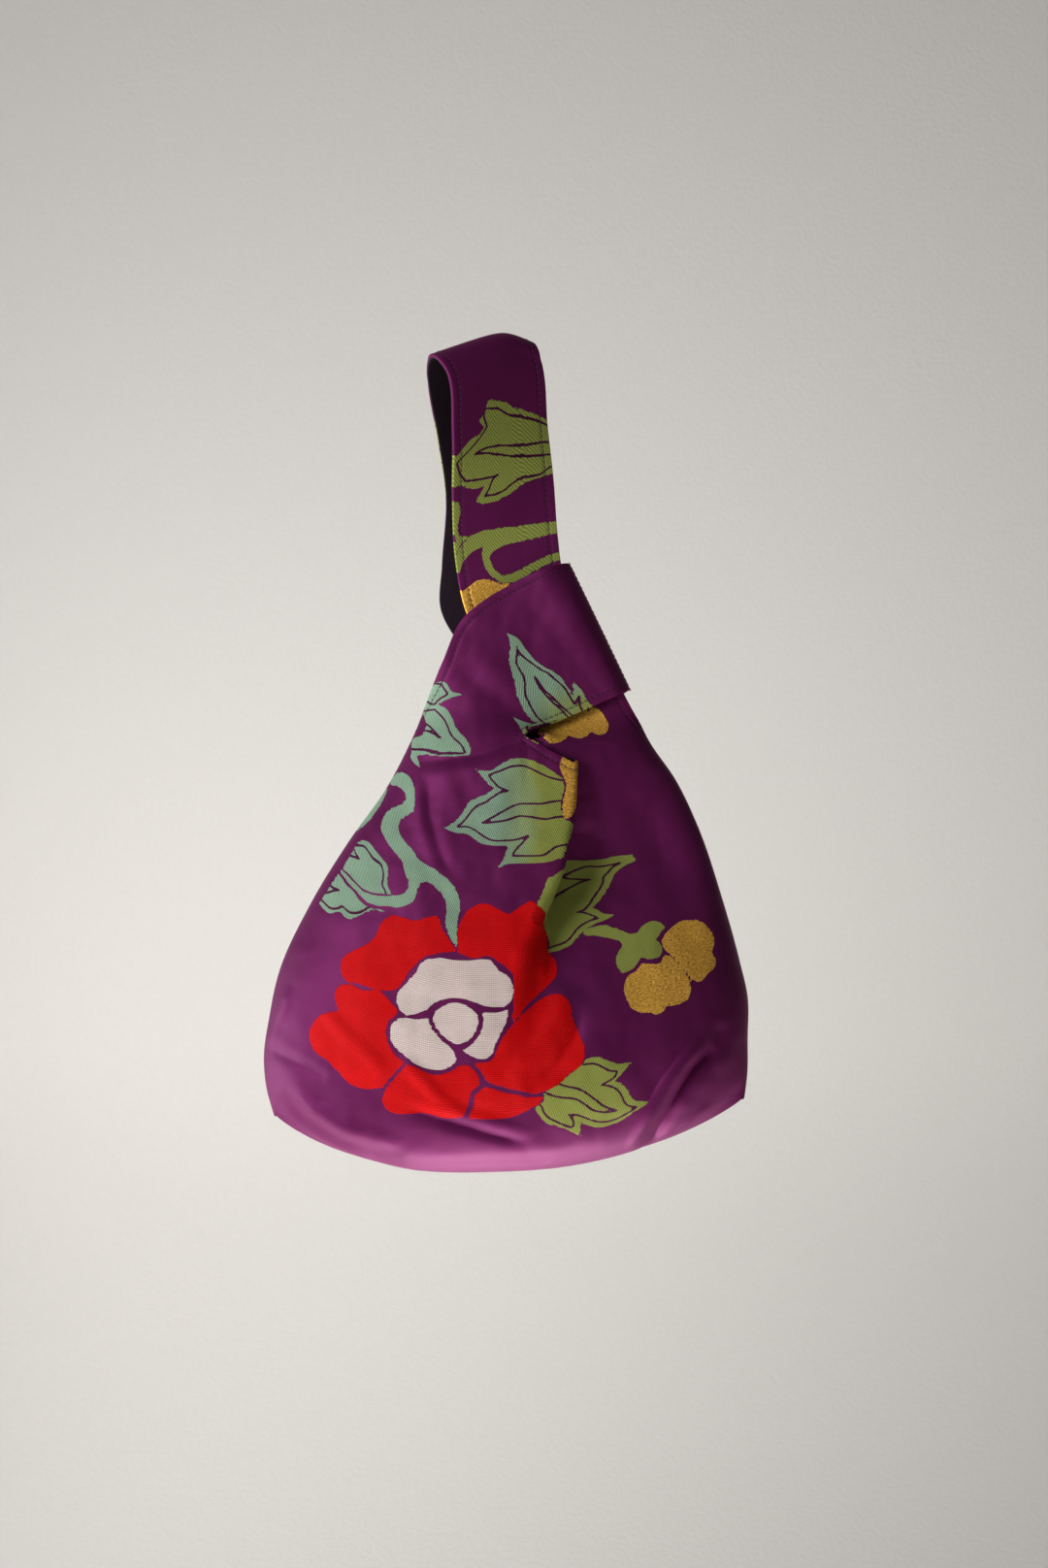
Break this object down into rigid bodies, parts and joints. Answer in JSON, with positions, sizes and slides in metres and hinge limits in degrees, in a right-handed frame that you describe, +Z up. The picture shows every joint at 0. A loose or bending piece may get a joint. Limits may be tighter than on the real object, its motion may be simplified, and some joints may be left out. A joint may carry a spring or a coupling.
{
  "type": "top handle bag",
  "caption": "Soft cloth knot bag with a short and a long handle; the long one is drawn through the short one, closes the mouth in a pleat and carries the bag.",
  "frame": {"origin": "the point where a hook bears on the inside of the long handle's top fold", "axes": "+Z up, the bag hangs along it; -Y towards the front with the pleat, +X to the wearer's right of the front view"},
  "size_m": [0.2371, 0.1038, 0.4097],
  "materials": {
    "brocade": "purple satin-weave brocade with woven flowers, leaves and buds",
    "lining": "plain near-black purple weave"
  },
  "bodies": {
    "root": {"outer_front_panel": "brocade", "outer_back_panel": "brocade", "lining_front_panel": "lining", "lining_back_panel": "lining"}
  },
  "joints": []
}
